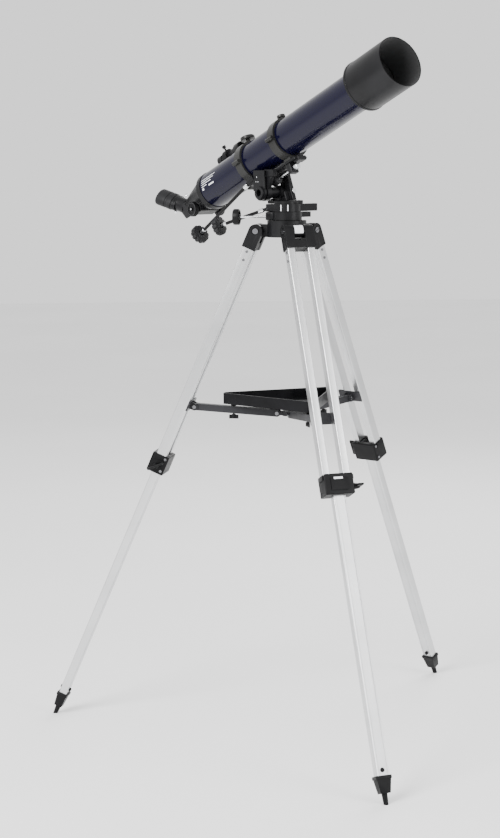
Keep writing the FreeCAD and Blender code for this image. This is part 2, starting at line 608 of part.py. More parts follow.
def altitude_cradle():
    """The side plate down to the axle, the web under the mounting bar
    and the boss of the slow-motion screw."""
    near, far = "-cradle_near", "-cradle_near + cradle_thick"
    back = "-pivot_back - cradle_width / 2 - 6"
    plate = rounded(box(back, f"{back} + cradle_width", near, far, "pivot_height + 4", "cradle_top"), 1.5)
    eye = rod("y", near, far, 19, x="-pivot_back", z="pivot_height")
    to_head = place(0, 0, "tube_height", ("y", "-altitude"))
    web = box(-122, -86, near, "web_end",
              "-plate_top - plate_thick - 7", "-plate_top - plate_thick", at=to_head)
    boss_at = f"{to_head} * {CONTROLS['altitude'][1]}"
    boss = rod("x", -14, 12, 9, at=boss_at)
    screw = rod("x", -1, 14, "control_rod_radius + running", at=boss_at)
    bore = rod("y", -60, 60, "barrel_radius", x="-pivot_back", z="pivot_height")
    clear = box(-60, 34, "-plate_width / 2 - 1", "plate_width / 2 + 1",
                "-plate_top - plate_thick", 0, at=to_head)
    screws = [rod("y", "-cradle_near - 1", "-cradle_near + 2", 2.4, x=x, z=z)
              for x, z in ((-62, 1377), (-65, 1366), (-57, 1366))]
    node("altitude_cradle", HEAD, cut(fuse(plate, eye, web, boss), bore, screw, clear, *screws))


def barrel():
    """The hollow axle, fixed in the cradle, that turns in the yoke."""
    tube = rod("y", "-cradle_near - 5", "yoke_far", "barrel_radius", x="-pivot_back", z="pivot_height")
    hollow = rod("y", "-cradle_near - 6", "yoke_near", "barrel_bore", x="-pivot_back", z="pivot_height")
    rim = rod("y", "-cradle_near - 5", "-cradle_near", 16, x="-pivot_back", z="pivot_height")
    node("altitude_barrel", HEAD, cut(fuse(tube, rim), hollow))


def tangent_arm():
    """The friction arm on the barrel; the slow-motion screw bears on its head."""
    ring = rod("y", -34, -21.5, 20, x="-pivot_back", z="pivot_height")
    stem = box(-11, 11, -34, -21.5, 12, 50, at=place("-pivot_back", 0, "pivot_height", ("y", 22)))
    head = rounded(box(-44, -10, -36, -21.5, 1379, 1396), 2)
    bore = rod("y", -40, -10, "barrel_radius + running", x="-pivot_back", z="pivot_height")
    node("altitude_arm", HEAD, cut(fuse(ring, stem, head), bore))


def mounting_bar():
    """The flat bar that both tube rings are bolted to, with a lug for the drag screw in front."""
    top = "-plate_top"
    half = "plate_width / 2"
    bar = rounded(box("-plate_back", "plate_front", f"-{half}", half, f"{top} - plate_thick", top), 1.5)
    lug = rounded(box(-6, 8, "-drag_side - 12", "-drag_side + 12",
                      "-drag_drop - 11", f"{top} - plate_thick + 1"), 2)
    nose = rounded(box("plate_front - 14", "plate_front + 6", -13, 13, f"{top} - plate_thick - 5", top), 2)
    bore = rod("x", -10, 12, "drag_rod_radius + running", y="-drag_side", z="-drag_drop")
    node("mounting_bar", TUBE, cut(fuse(bar, lug, nose), bore))


def drag_screw():
    """The altitude drag screw: ribbed knob behind, bright rod, knurled barrel nut in front."""
    y, z = "-drag_side", "-drag_drop"
    knob = rod("x", -80, -58, "drag_knob_radius", y=y, z=z)
    ribs = [rod("x", -81, -57, 1.6, at=place(0, f"-drag_side + drag_knob_radius * cos({step} * 22.5deg)",
                                             f"-drag_drop + drag_knob_radius * sin({step} * 22.5deg)"))
            for step in range(16)]
    shaft = rod("x", -66, 14, "drag_rod_radius", y=y, z=z)
    nut = rod("x", 9, 24, "drag_rod_radius + 3", y=y, z=z)
    bore = rod("x", -66, -57, "drag_rod_radius", y=y, z=z)
    node("altitude_drag_screw", TUBE, cut(knob, bore, *ribs), fuse(shaft, nut))


yoke()
yoke_bolt()
altitude_cradle()
barrel()
tangent_arm()
mounting_bar()
drag_screw()
control("altitude")

# ---------------------------------------------------------------- optical tube
def main_tube():
    node("main_tube", TUBE, cut(rod("x", "-tube_back", "tube_front", "tube_radius"),
                                rod("x", "-tube_back - 1", "tube_front + 1", "tube_radius - tube_wall")))


def dew_shield():
    """The hood in front of the lens: a low rim round its rear end, and a band inside that fits the cell."""
    skin = fuse(rod("x", "shield_back", "shield_front", "shield_radius"),
                rod("x", "shield_back", "shield_back + flange_length", "flange_radius"))
    mouth = rod("x", "band_front", "shield_front + 1", "shield_radius - shield_wall")
    bore = rod("x", "shield_back - 1", "band_front + 1", "band_bore")
    node("dew_shield", TUBE, cut(skin, mouth, bore))


def lens_cell():
    """The cell screwed on the tube's front end, which centres the hood, and the ring that holds the lens."""
    body = rod("x", "cell_back", "cell_front", "band_bore - running")
    cell = cut(body, rod("x", "cell_back - 1", "tube_front", "tube_radius"),
               rod("x", "tube_front - 1", "cell_front + 1", "aperture"),
               rod("x", "lens_back", "cell_front + 1", "lens_radius"))
    retainer = cut(rod("x", "lens_front + 0.2", "cell_front", "lens_radius"),
                   rod("x", "lens_front - 1", "cell_front + 1", "aperture"))
    node("lens_cell", TUBE, cell, retainer)


def objective_lens():
    """A lens with two convex faces."""
    bulge = 2.2
    blank = rod("x", f"lens_back - {bulge}", f"lens_front + {bulge}", "lens_radius")
    balls = [solid("Sphere", place(f"lens_front + {bulge} - lens_curve", 0, 0), Radius="lens_curve"),
             solid("Sphere", place(f"lens_back - {bulge} + lens_curve", 0, 0), Radius="lens_curve")]
    node("objective_lens", TUBE, common(blank, *balls))


ACCESSORY_KNOBS = {"front": (2, 10.5, 7), "back": (6, 18.5, 8)}


def accessory_knob(name, middle):
    """The knurled nut on top of a ring, on the stud for a camera or another accessory."""
    neck, radius, thick = ACCESSORY_KNOBS[name]
    base = "ring_radius + 1.5"
    stud = rod("z", base, f"{base} + {neck} + 1", 5, x=middle)
    disc = rounded(rod("z", f"{base} + {neck}", f"{base} + {neck} + {thick}", radius, x=middle), 1.5)
    return fuse(stud, disc)


def ring_half(name, middle, upper):
    """One half of a tube ring.  The lower half has the saddle and the hinge pin, the upper half the boss."""
    x0, x1 = f"{middle} - ring_width / 2", f"{middle} + ring_width / 2"
    band = cut(rod("x", x0, x1, "ring_radius"),
               rod("x", f"{x0} - 1", f"{x1} + 1", "tube_radius + ring_liner"))
    z0, z1 = ("0.3", "ring_lug") if upper else ("-ring_lug", "-0.3")
    half_space = box(f"{x0} - 1", f"{x1} + 1", -80, 80, *(("0.3", 80) if upper else (-80, "-0.3")))
    lug = rounded(box(x0, x1, "ring_radius - 4", "ring_clamp + 8", z0, z1), 1.5)
    keep_out = rod("x", f"{x0} - 1", f"{x1} + 1", "tube_radius + ring_liner")
    knuckle_gap = "0.4"
    thirds = [(x0, f"{middle} - ring_width / 6 - {knuckle_gap}"),
              (f"{middle} + ring_width / 6 + {knuckle_gap}", x1)]
    middle_third = [(f"{middle} - ring_width / 6", f"{middle} + ring_width / 6")]
    spans = middle_third if upper else thirds
    other = thirds if upper else middle_third
    knuckles = [rod("x", a, b, "ring_hinge_radius", y="-ring_hinge") for a, b in spans]
    relief = [rod("x", f"{a} - {knuckle_gap}", f"{b} + {knuckle_gap}", f"ring_hinge_radius + {knuckle_gap}",
                  y="-ring_hinge") for a, b in other]
    body = fuse(cut(common(band, half_space), *relief), lug, *knuckles)
    if upper:
        boss = rounded(box(f"{middle} - 9", f"{middle} + 9", -9, 9,
                           "ring_radius - 3", "ring_radius + 1.5"), 1)
        bore = rod("x", f"{x0} - 1", f"{x1} + 1", "1.8 + running", y="-ring_hinge")
        hole = rod("z", -20, 20, 3, x=middle, y="ring_clamp")
        body = cut(fuse(body, boss), bore, keep_out, hole)
    else:
        saddle = box(x0, x1, -18, 18, "-plate_top", -48)
        pin = rod("x", x0, x1, 1.8, y="-ring_hinge")
        slot = fuse(rod("z", -20, 20, 4, x=middle, y="ring_clamp"),
                    box(f"{middle} - 4", f"{middle} + 4", "ring_clamp", "ring_clamp + 12", -20, 20))
        body = fuse(cut(fuse(body, saddle), keep_out, slot), pin)
    extra = [accessory_knob(name, middle)] if upper else []
    node(f"{name}_ring_{'top' if upper else 'base'}", TUBE, body, *extra)


def clamp_knob(name, middle):
    """The captive screw that closes a ring."""
    shank = rod("z", "-ring_lug + 0.5", "ring_lug + 4", 2.9, x=middle, y="ring_clamp")
    knob = rounded(rod("z", "ring_lug + 0.5", "ring_lug + 14", 10, x=middle, y="ring_clamp"), 2)
    node(f"{name}_ring_knob", TUBE, fuse(shank, knob))


for ring, middle in (("front", "front_ring"), ("back", "-back_ring")):
    ring_half(ring, middle, False)
    ring_half(ring, middle, True)
    clamp_knob(ring, middle)
main_tube()
dew_shield()
lens_cell()
objective_lens()

# ---------------------------------------------------------------- focuser, diagonal and eyepiece
def focuser_body():
    """The rear cap, the tapering housing, the pinion box and the bores in them."""
    cap = rod("x", "-cap_back", "-cap_front", "cap_radius")
    horn = taper("x", "-cone_back", "-cap_back + 1", "cone_radius", 45)
    pinion_box = rounded(box("-pinion_back - 17", "-pinion_back + 15", -30, 30,
                             "-pinion_drop - 10", -10), 2.5)
    holes = [rod("x", "-tube_back", 0, "tube_radius"),
             taper("x", "-cone_back + 20", "-cap_front", 24, 43),
             rod("x", "-cone_back - 1", "-cap_front", "draw_radius + running"),
             rod("y", -45, 45, "shaft_radius + running", x="-pinion_back", z="-pinion_drop"),
             rod("y", -6, 6, "pinion_radius + 1", x="-pinion_back", z="-pinion_drop"),
             box("-cone_back - 1", "-cap_front", -3.5, 3.5, "-draw_radius - 7", 0)]
    node("focuser_body", TUBE, cut(fuse(cap, horn, pinion_box), *holes))


def drawtube():
    """The sliding tube, with a rack along its underside and a collar for the diagonal."""
    tube = rod("x", "-draw_back", "-draw_front", "draw_radius")
    collar = rod("x", "-draw_back", "-draw_back + 5.5", "draw_radius + 2")
    rack = box("-draw_back + 12", "-draw_front", -3, 3, "-pinion_drop + pinion_radius + 0.1", -17)
    bore = rod("x", "-draw_back - 1", "-draw_front + 1", "draw_bore")
    node("drawtube", TUBE, cut(fuse(tube, collar, rack), bore))


def focus_shaft():
    """The pinion and its shaft."""
    shaft = rod("y", "-focus_outer + 4", "focus_outer - 4", "shaft_radius",
                x="-pinion_back", z="-pinion_drop")
    pinion = rod("y", -5, 5, "pinion_radius", x="-pinion_back", z="-pinion_drop")
    node("focus_shaft", TUBE, fuse(shaft, pinion))


def focus_knobs():
    """The two ribbed knobs on the ends of the pinion's shaft."""
    made = []
    for side in SIDES:
        x, z = "-pinion_back", "-pinion_drop"
        disc = rounded(side_rod(side, "focus_inner", "focus_outer", "focus_radius", x, z), 1.5)
        dish = side_rod(side, "focus_outer - 2", "focus_outer + 1", "focus_radius - 5", x, z)
        bore = side_rod(side, "focus_inner - 1", "focus_outer - 4", "shaft_radius", x, z)
        made.append(cut(disc, dish, bore))
    node("focus_knobs", TUBE, *made)


PRISM = f"{TUBE} * {place('-prism_back', 0, 0, ('x', 'prism_turn'))}"
EYE = place(0, 0, 0, ("y", -45))


def star_diagonal():
    """The prism housing with its nosepiece and the eyepiece holder, half a right angle off the axis."""
    house = rounded(box(-17, 14, -17, 17, -21, 17), 3)
    shoulder = rod("x", 12, 16, 17.5)
    nose = rod("x", 14, 46, "nose_radius")
    holder = rod("z", 8, 31, "barlow_radius + 2.2", at=EYE)
    path = [rod("x", 4, 47, 12.5), rod("z", 0, 18, 12.5, at=EYE),
            rod("z", 18, 32, "nose_radius + running", at=EYE)]
    trim = box(-60, 60, -30, 30, -60, -24, at=place(0, 0, 0, ("y", 45)))
    node("star_diagonal", PRISM, cut(fuse(house, shoulder, nose, holder), *path, trim))


def barlow():
    """The short tube between the diagonal and the eyepiece."""
    body = rod("z", 31.4, "barlow_end", "barlow_radius", at=EYE)
    nose = rod("z", "barlow_start", 32, "nose_radius", at=EYE)
    bore = rod("z", 31, "barlow_end + 1", "nose_radius - 1.2", at=EYE)
    path = rod("z", 0, 32, 12.5, at=EYE)
    node("barlow_tube", PRISM, cut(fuse(body, nose), bore, path))


def eyepiece():
    """The eyepiece: knurled body, plain nose and the eye lens in a shallow cup."""
    body = rounded(rod("z", "barlow_end + 0.3", "eyepiece_end", "eyepiece_radius", at=EYE), 1.5)
    groove = cut(rod("z", 60, 64, 20, at=EYE), rod("z", 59, 65, "eyepiece_radius - 1.2", at=EYE))
    nose = rod("z", 33, 48, "nose_radius - 1.2 - running", at=EYE)
    cup = rod("z", "eyepiece_end - 5", "eyepiece_end + 1", 12, at=EYE)
    node("eyepiece", PRISM, cut(fuse(body, nose), groove, cup))


focuser_body()
drawtube()
focus_shaft()
focus_knobs()
star_diagonal()
barlow()
eyepiece()

# ---------------------------------------------------------------- finder
FINDER = f"{TUBE} * {place(0, 0, 0, ('x', 'finder_turn'))}"


def finder():
    """The small sighting telescope: eyepiece end, tube and hood."""
    z = "finder_height"
    body = fuse(rod("x", "-finder_back + 12", "-finder_front - 22", "finder_radius - 2", z=z),
                rod("x", "-finder_back", "-finder_back + 16", "finder_radius", z=z),
                taper("x", "-finder_front - 30", "-finder_front - 18",
                       "finder_radius - 2", "finder_radius + 3", z=z),
                rod("x", "-finder_front - 18", "-finder_front", "finder_radius + 3", z=z))
    bores = [rod("x", "-finder_back - 1", "-finder_back + 4", 8, z=z),
             rod("x", "-finder_front - 12", "-finder_front + 1", "finder_radius + 1", z=z)]
    node("finder", FINDER, cut(body, *bores))


def finder_bracket():
    """The bracket: a foot on the tube, a stalk and a ring with two thumbscrews."""
    z = "finder_height"
    back = "-finder_back + 36"
    ring = rod("x", f"{back} - 8", f"{back} + 8", "finder_radius + 4", z=z)
    stalk = box(f"{back} - 8", f"{back} + 8", -7, 7, 48, "finder_height - finder_radius")
    shoe = box(f"{back} - 20", f"{back} + 26", -12, 12, 42, 52)
    hole = rod("x", f"{back} - 9", f"{back} + 9", "finder_radius - 2", z=z)
    skin = rod("x", f"{back} - 30", f"{back} + 30", "tube_radius")
    screws = []
    for side in SIDES:
        at = f"{place(back, 0, z, ('x', side * 45))}"
        screws.append(rod("z", "finder_radius + 2", "finder_radius + 13", 2.4, at=at))
        screws.append(rod("z", "finder_radius + 10", "finder_radius + 17", 5, at=at))
    node("finder_bracket", FINDER, cut(fuse(ring, stalk, shoe, *screws), hole, skin))


finder()
finder_bracket()

# ---------------------------------------------------------------- checks and export
doc.recompute()
faults = [f"{thing.Name} {thing.Label} {thing.State}" for thing in doc.Objects
          if "Invalid" in thing.State or "Error" in thing.State]
for thing in NODES:
    if thing.Shape.isNull() or not thing.Shape.isValid():
        faults.append(f"{thing.Label}: bad shape")
if faults:
    raise RuntimeError("\n".join(faults))

os.makedirs("parts", exist_ok=True)
for old in os.listdir("parts"):
    os.remove(os.path.join("parts", old))
for thing in NODES:
    thing.Shape.exportStep(os.path.join("parts", f"{thing.Label}.step"))

whole = Part.makeCompound([thing.Shape for thing in NODES])
print(len(NODES), "nodes", whole.optimalBoundingBox(False))
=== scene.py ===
import json
import math

import bmesh
import bpy
from mathutils import Matrix, Vector


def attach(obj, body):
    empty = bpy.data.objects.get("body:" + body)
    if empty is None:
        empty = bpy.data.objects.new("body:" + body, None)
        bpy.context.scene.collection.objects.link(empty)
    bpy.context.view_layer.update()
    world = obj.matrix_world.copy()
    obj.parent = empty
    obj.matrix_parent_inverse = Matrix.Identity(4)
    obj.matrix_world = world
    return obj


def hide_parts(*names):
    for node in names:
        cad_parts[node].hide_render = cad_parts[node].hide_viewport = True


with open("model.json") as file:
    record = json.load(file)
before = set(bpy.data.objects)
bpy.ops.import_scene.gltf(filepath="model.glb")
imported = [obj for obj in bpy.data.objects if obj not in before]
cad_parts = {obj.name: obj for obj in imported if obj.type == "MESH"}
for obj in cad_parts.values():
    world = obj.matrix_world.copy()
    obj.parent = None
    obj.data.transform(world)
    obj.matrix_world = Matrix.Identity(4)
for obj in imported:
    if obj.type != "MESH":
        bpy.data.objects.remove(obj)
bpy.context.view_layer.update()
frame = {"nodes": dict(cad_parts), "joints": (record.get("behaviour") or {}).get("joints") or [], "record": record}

MM = 0.001
JOINTS = {joint["name"]: joint for joint in frame["joints"]}
LEGS = ("front", "left", "right")


# ---------------------------------------------------------------- frames read from the joints
def axis_of(joint):
    return Vector(JOINTS[joint]["axis"]).normalized()


def point_of(joint):
    return Vector(JOINTS[joint]["pos_m"])


def axes_matrix(origin, x, y):
    """A frame with the given origin, x and y directions."""
    z = x.cross(y).normalized()
    turn = Matrix((x, y, z)).transposed().to_4x4()
    return Matrix.Translation(origin) @ turn


# tube frame: x along the optical axis, z up, origin where the diagonal's prism sits
TUBE = axes_matrix(point_of("diagonal_turn"), axis_of("dew_shield_slide"), -axis_of("altitude_turn"))
PRISM = 434 * MM
HOLDER_RADIUS = 16.5


def along_tube(station, y=0.0, z=0.0):
    """A point in the tube frame, at a station counted from over the tripod, all in millimetres."""
    return Vector((station * MM + PRISM, y * MM, z * MM))


LOCK_SCREW_REACH = 40 * MM


def leg_matrix(leg):
    """z up along the leg, y across it; the origin is on the lock screw's axis."""
    up = -axis_of(f"{leg}_leg_extend")
    across = axis_of(f"{leg}_lock_turn")
    return axes_matrix(point_of(f"{leg}_lock_turn") - across * LOCK_SCREW_REACH, across.cross(up), across)


def rod_matrix(joint):
    """x outwards along a control's rod."""
    x = axis_of(joint)
    side = x.orthogonal().normalized()
    return axes_matrix(point_of(joint), x, side)


# ---------------------------------------------------------------- camera
TRIPOD = point_of("azimuth_turn")
CAMERA_BACK = 4.552
CAMERA_HEIGHT = 1.426
CAMERA_YAW = math.radians(-1.52)
CAMERA_PITCH = math.radians(-7.75)
CAMERA_ROLL = math.radians(-0.66)
LENS = 79.71
SHIFT = (0.0125, -0.0110)


def add_camera():
    data = bpy.data.cameras.new("camera")
    data.lens = LENS
    data.sensor_width = 36
    data.shift_x, data.shift_y = SHIFT
    data.clip_end = 60
    level = math.cos(CAMERA_PITCH)
    forward = Vector((math.sin(CAMERA_YAW) * level, math.cos(CAMERA_YAW) * level, math.sin(CAMERA_PITCH)))
    right = Vector((math.cos(CAMERA_YAW), -math.sin(CAMERA_YAW), 0))
    up = right.cross(forward)
    rolled_right = right * math.cos(CAMERA_ROLL) + up * math.sin(CAMERA_ROLL)
    rolled_up = up * math.cos(CAMERA_ROLL) - right * math.sin(CAMERA_ROLL)
    camera = bpy.data.objects.new("camera", data)
    place = Vector((TRIPOD.x, TRIPOD.y - CAMERA_BACK, CAMERA_HEIGHT))
    turn = Matrix((rolled_right, rolled_up, -forward)).transposed().to_4x4()
    camera.matrix_world = Matrix.Translation(place) @ turn
    bpy.context.scene.collection.objects.link(camera)
    bpy.context.scene.camera = camera


add_camera()


# ---------------------------------------------------------------- materials
class Finish:
    """A node-based material with object coordinates, read in a frame of the maker's choice."""

    def __init__(self, name, matrix=None):
        self.material = bpy.data.materials.new(name)
        self.material.use_nodes = True
        self.tree = self.material.node_tree
        self.shader = self.tree.nodes["Principled BSDF"]
        coordinates = self.tree.nodes.new("ShaderNodeTexCoord")
        self.mapping = self.tree.nodes.new("ShaderNodeMapping")
        self.tree.links.new(coordinates.outputs["Object"], self.mapping.inputs["Vector"])
        if matrix is not None:
            inverse = matrix.inverted()
            self.mapping.inputs["Location"].default_value = inverse.to_translation()
            self.mapping.inputs["Rotation"].default_value = inverse.to_euler()

    def set(self, **values):
        for name, value in values.items():
            self.shader.inputs[name.replace("_", " ")].default_value = value
        return self

    def stretched(self, scale):
        """The coordinates with a scale of their own for each axis."""
        node = self.tree.nodes.new("ShaderNodeMapping")
        node.inputs["Scale"].default_value = scale
        self.tree.links.new(self.mapping.outputs["Vector"], node.inputs["Vector"])
        return node.outputs["Vector"]

    def noise(self, scale, detail=3.0, stretch=(1, 1, 1)):
        node = self.tree.nodes.new("ShaderNodeTexNoise")
        node.inputs["Scale"].default_value = scale
        node.inputs["Detail"].default_value = detail
        self.tree.links.new(self.stretched(stretch), node.inputs["Vector"])
        return node.outputs["Fac"]

    def ramp(self, factor, low, high, start=0.35, end=0.65):
        node = self.tree.nodes.new("ShaderNodeValToRGB")
        node.color_ramp.elements[0].position = start
        node.color_ramp.elements[1].position = end
        node.color_ramp.elements[0].color = (*low, 1)
        node.color_ramp.elements[1].color = (*high, 1)
        self.tree.links.new(factor, node.inputs["Fac"])
        return node.outputs["Color"]

    def spread(self, factor, low, high):
        node = self.tree.nodes.new("ShaderNodeMapRange")
        node.inputs["From Min"].default_value = 0.3
        node.inputs["From Max"].default_value = 0.7
        node.inputs["To Min"].default_value = low
        node.inputs["To Max"].default_value = high
        self.tree.links.new(factor, node.inputs["Value"])
        return node.outputs["Result"]

    def join(self, output, socket):
        self.tree.links.new(output, self.shader.inputs[socket])
        return self

    def bump(self, height, strength, distance):
        node = self.tree.nodes.new("ShaderNodeBump")
        node.inputs["Strength"].default_value = strength
        node.inputs["Distance"].default_value = distance
        self.tree.links.new(height, node.inputs["Height"])
        self.tree.links.new(node.outputs["Normal"], self.shader.inputs["Normal"])
        return self


def moulded_plastic(name, low, high, rough=(0.38, 0.50), grain=900, strength=0.12):
    """Black moulded plastic: fine spark-eroded grain, tone that drifts a little."""
    finish = Finish(name)
    finish.join(finish.ramp(finish.noise(14, 4), low, high), "Base Color")
    finish.join(finish.spread(finish.noise(40, 5), *rough), "Roughness")
    finish.set(Specular_IOR_Level=0.14)
    return finish.bump(finish.noise(grain, 2), strength, 0.0003).material


def painted_casting(name, low, high, rough=(0.34, 0.46)):
    """Satin paint on cast metal, with the soft orange peel that such paint has."""
    finish = Finish(name)
    finish.join(finish.ramp(finish.noise(9, 5), low, high), "Base Color")
    finish.join(finish.spread(finish.noise(60, 4), *rough), "Roughness")
    finish.set(Specular_IOR_Level=0.16, Coat_Weight=0.05, Coat_Roughness=0.25)
    return finish.bump(finish.noise(420, 2), 0.10, 0.0004).material


def anodised_leg(leg):
    """Satin anodised extrusion with drawn lines along the leg."""
    finish = Finish(f"anodised_{leg}", leg_matrix(leg))
    lines = finish.noise(1.0, 4, (2600, 2600, 6))
    cloud = finish.noise(7, 4)
    finish.join(finish.ramp(cloud, (0.60, 0.605, 0.61), (0.68, 0.685, 0.69)), "Base Color")
    finish.join(finish.spread(lines, 0.26, 0.36), "Roughness")
    finish.set(Metallic=1.0)
    return finish.bump(lines, 0.10, 0.0002).material


def plated(name, colour=(0.82, 0.83, 0.85), rough=(0.10, 0.20)):
    """Bright plated steel with faint turning marks."""
    finish = Finish(name)
    finish.join(finish.ramp(finish.noise(30, 3), tuple(v * 0.94 for v in colour), colour), "Base Color")
    finish.join(finish.spread(finish.noise(300, 3), *rough), "Roughness")
    finish.set(Metallic=1.0)
    return finish.bump(finish.noise(1500, 1), 0.03, 0.0001).material


def gloss_navy():
    """Deep navy lacquer under a clear coat, with the faintest orange peel and flake."""
    finish = Finish("navy_lacquer", TUBE)
    flake = finish.ramp(finish.noise(2500, 1), (0.0016, 0.0013, 0.009), (0.0030, 0.0026, 0.015))
    finish.join(flake, "Base Color")
    finish.join(finish.spread(finish.noise(20, 4), 0.20, 0.27), "Roughness")
    finish.set(Specular_IOR_Level=0.10, Coat_Weight=0.32, Coat_Roughness=0.045, Coat_IOR=1.45)
    return finish.bump(finish.noise(260, 2), 0.035, 0.0002).material


def satin_black(name="satin_black", matrix=None, rough=(0.30, 0.40)):
    """Black anodising or paint on turned metal: fine rings across the axis."""
    finish = Finish(name, matrix)
    rings = finish.noise(1.0, 3, (3000, 12, 12))
    finish.join(finish.ramp(finish.noise(12, 4), (0.003, 0.003, 0.0035), (0.007, 0.007, 0.008)), "Base Color")
    finish.join(finish.spread(rings, *rough), "Roughness")
    finish.set(Specular_IOR_Level=0.16, Coat_Weight=0.08, Coat_Roughness=0.15)
    return finish.bump(rings, 0.06, 0.0002).material


def flocked():
    """Flat black lining that swallows light."""
    finish = Finish("flat_lining")
    finish.join(finish.ramp(finish.noise(800, 3), (0.004, 0.004, 0.004), (0.011, 0.011, 0.012)), "Base Color")
    finish.set(Roughness=0.95, Sheen_Weight=0.1, Sheen_Roughness=0.6)
    return finish.bump(finish.noise(1500, 2), 0.5, 0.0004).material


def rubbery(name="soft_grip"):
    """Soft black grip material, duller than the hard plastic."""
    finish = Finish(name)
    finish.join(finish.ramp(finish.noise(25, 4), (0.005, 0.005, 0.006), (0.011, 0.011, 0.012)), "Base Color")
    finish.set(Specular_IOR_Level=0.25)
    finish.join(finish.spread(finish.noise(90, 3), 0.50, 0.64), "Roughness")
    return finish.bump(finish.noise(1300, 2), 0.2, 0.0003).material


def lens_glass():
    """Optical glass with a faint blue-green coating."""
    finish = Finish("coated_glass")
    finish.join(finish.ramp(finish.noise(10, 2), (0.93, 0.97, 0.98), (0.97, 0.99, 0.99)), "Base Color")
    finish.set(Roughness=0.02, Transmission_Weight=0.85, IOR=1.52, Coat_Weight=0.5, Coat_Roughness=0.03)
    finish.set(Coat_Tint=(0.45, 0.75, 0.85, 1))
    return finish.material


def print_white():
    """Pale ink of the plain marks on the tube."""
    finish = Finish("pale_ink")
    finish.join(finish.ramp(finish.noise(200, 3), (0.72, 0.73, 0.76), (0.84, 0.85, 0.87)), "Base Color")
    finish.set(Roughness=0.4)
    return finish.material


def studio_floor():
    finish = Finish("studio_floor")
    finish.join(finish.ramp(finish.noise(0.8, 2), (0.90, 0.90, 0.90), (0.93, 0.93, 0.93)), "Base Color")
    finish.set(Roughness=0.7)
    return finish.material


PLASTIC = moulded_plastic("black_plastic", (0.003, 0.003, 0.0035), (0.007, 0.007, 0.0075))
TRAY_PLASTIC = moulded_plastic("tray_plastic", (0.002, 0.002, 0.0025), (0.005, 0.005, 0.006),
                               rough=(0.26, 0.36), grain=500)
CASTING = painted_casting("black_casting", (0.003, 0.003, 0.0035), (0.008, 0.008, 0.009))
RING_CASTING = painted_casting("grey_casting", (0.014, 0.014, 0.0135), (0.026, 0.026, 0.025), (0.26, 0.38))
SPREADER = painted_casting("spreader_paint", (0.016, 0.016, 0.018), (0.028, 0.028, 0.031))
BOLT = plated("dark_bolt_steel", (0.20, 0.20, 0.21), (0.22, 0.34))
BRIGHT = plated("bright_steel")
NAVY = gloss_navy()
BLACK = satin_black("satin_black", TUBE)
LINING = flocked()
GRIP = rubbery()
GLASS = lens_glass()
INK = print_white()
LEG_METAL = {leg: anodised_leg(leg) for leg in LEGS}


# ---------------------------------------------------------------- making pieces
CAD_SEAM = 0.01 * MM
SPIN_SEAM = 0.002 * MM


def finish_piece(mesh, name, body, finishes, smooth=35, bevel=0.0, replaced=()):
    """Links a mesh as a piece: materials, smoothing by angle, a small live bevel, and its body."""
    for finish in finishes:
        mesh.materials.append(finish)
    mesh.shade_smooth()
    mesh.set_sharp_from_angle(angle=math.radians(smooth))
    piece = bpy.data.objects.new(name, mesh)
    bpy.context.scene.collection.objects.link(piece)
    if bevel:
        softening = piece.modifiers.new("edges", "BEVEL")
        softening.width = bevel * MM
        softening.segments = 2
        softening.limit_method = "ANGLE"
        softening.angle_limit = math.radians(smooth)
        softening.harden_normals = True
        softening.use_clamp_overlap = True
    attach(piece, body)
    if replaced:
        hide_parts(*replaced)
    return piece


def body_of(node):
    return next(body for body, nodes in frame["record"]["behaviour"]["bodies"].items() if node in nodes)


def dressed(node, finish, bevel=0.5, smooth=35):
    """A cleaned copy of a CAD node: merged, its flat faces joined up and its edges softened."""
    made = bmesh.new()
    made.from_mesh(frame["nodes"][node].data)
    bmesh.ops.remove_doubles(made, verts=made.verts, dist=CAD_SEAM)
    bmesh.ops.dissolve_limit(made, angle_limit=math.radians(1.5), verts=made.verts, edges=made.edges)
    mesh = bpy.data.meshes.new(node)
    made.to_mesh(mesh)
    made.free()
    return finish_piece(mesh, f"{node}_shape", body_of(node), [finish], smooth, bevel, [node])


def spun(profile, steps, closed):
    """A mesh in the making: a profile of (x, radius) in millimetres, spun round x."""
    made = bmesh.new()
    ring = [made.verts.new((x * MM, 0, radius * MM)) for x, radius in profile]
    ends = ring[1:] + ring[:1] if closed else ring[1:]
    edges = [made.edges.new(pair) for pair in zip(ring, ends)]
    bmesh.ops.spin(made, geom=ring + edges, cent=(0, 0, 0), axis=(1, 0, 0), angle=math.tau, steps=steps,
                   use_merge=True)
    bmesh.ops.remove_doubles(made, verts=made.verts, dist=SPIN_SEAM)
    return made


def turned(name, matrix, profile, body, finishes, steps=96, bevel=0.0, replaced=(), ribs=None,
           smooth=35):
    """A shape turned round x from a closed profile of (x, radius) in millimetres.
    ribs is (first x, last x, count, depth): a knurled band, pressed in between the ribs."""
    made = spun(profile, steps, True)
    if ribs:
        first, last, count, depth = ribs
        for vert in made.verts:
            if first * MM - 1e-6 <= vert.co.x <= last * MM + 1e-6:
                angle = math.atan2(vert.co.z, vert.co.y)
                radius = math.hypot(vert.co.y, vert.co.z)
                if radius > 0:
                    wave = 0.5 - 0.5 * math.cos(angle * count)
                    scale = 1 - depth * MM * wave / radius
                    vert.co.y *= scale
                    vert.co.z *= scale
    bmesh.ops.recalc_face_normals(made, faces=made.faces)
    bmesh.ops.transform(made, matrix=matrix, verts=made.verts)
    mesh = bpy.data.meshes.new(name)
    made.to_mesh(mesh)
    made.free()
    return finish_piece(mesh, name, body, finishes, smooth, bevel, replaced)


